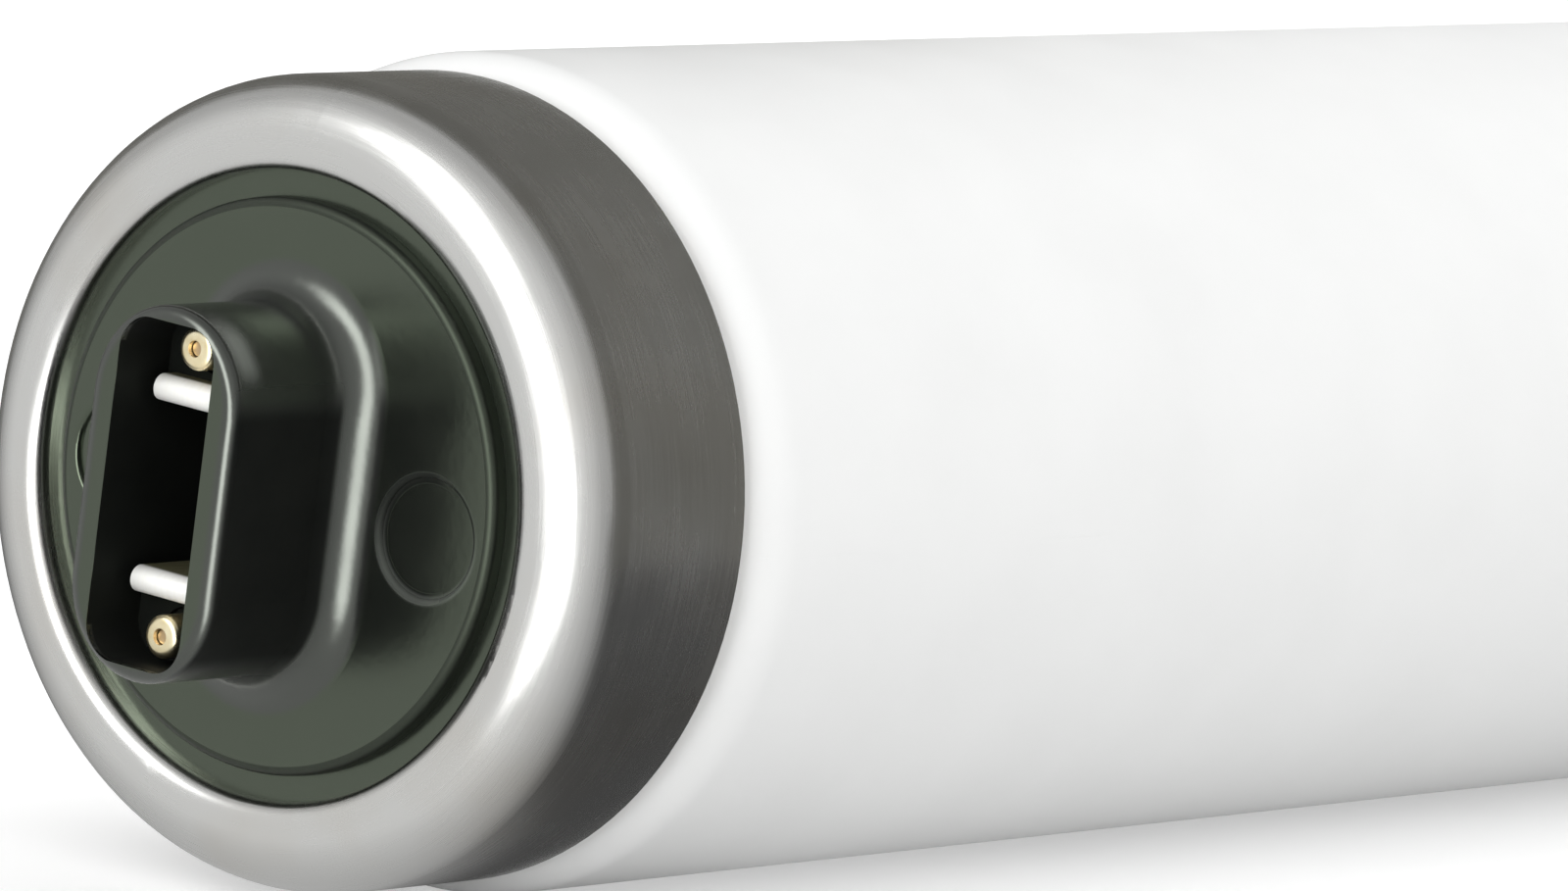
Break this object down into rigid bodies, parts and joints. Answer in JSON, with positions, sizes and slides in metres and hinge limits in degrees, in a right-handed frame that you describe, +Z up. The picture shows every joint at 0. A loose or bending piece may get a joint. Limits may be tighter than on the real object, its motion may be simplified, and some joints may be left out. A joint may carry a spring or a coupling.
{
  "type": "fluorescent tube",
  "caption": "Straight white-coated fluorescent tube with rounded aluminium end caps, each holding a dark insulator whose racetrack boss shields recessed contacts.",
  "frame": {"origin": "middle of the lamp, on the tube's axis halfway between the fronts of the two bosses", "axes": "+X along the tube's axis, with the pictured end at -X; +Z up, along the long side of each boss; +Y across the short side of each boss"},
  "size_m": [0.561, 0.038, 0.0382],
  "materials": {
    "coated_glass": "clear glossy glass over a white inner coat, so it reads as opaque white",
    "cap_aluminium": "drawn sheet, satin, brighter on the rounded front",
    "basing_cement": "matte, set cement",
    "insulator_moulding": "dark hard moulding, semi-gloss",
    "contact_strip": "bright plated strip",
    "eyelet_brass": "pale, slightly dulled",
    "lead_wire": "dull plated wire"
  },
  "bodies": {
    "root": {"glass_tube": "coated_glass", "end_cap_left": "cap_aluminium", "end_cap_right": "cap_aluminium", "basing_cement_left": "basing_cement", "basing_cement_right": "basing_cement", "insulator_left": "insulator_moulding", "insulator_right": "insulator_moulding", "contact_upper_left": "contact_strip", "contact_lower_left": "contact_strip", "contact_upper_right": "contact_strip", "contact_lower_right": "contact_strip", "eyelet_upper_left": "eyelet_brass", "eyelet_lower_left": "eyelet_brass", "eyelet_upper_right": "eyelet_brass", "eyelet_lower_right": "eyelet_brass", "lead_wire_upper_left": "lead_wire", "lead_wire_lower_left": "lead_wire", "lead_wire_upper_right": "lead_wire", "lead_wire_lower_right": "lead_wire"}
  },
  "joints": []
}
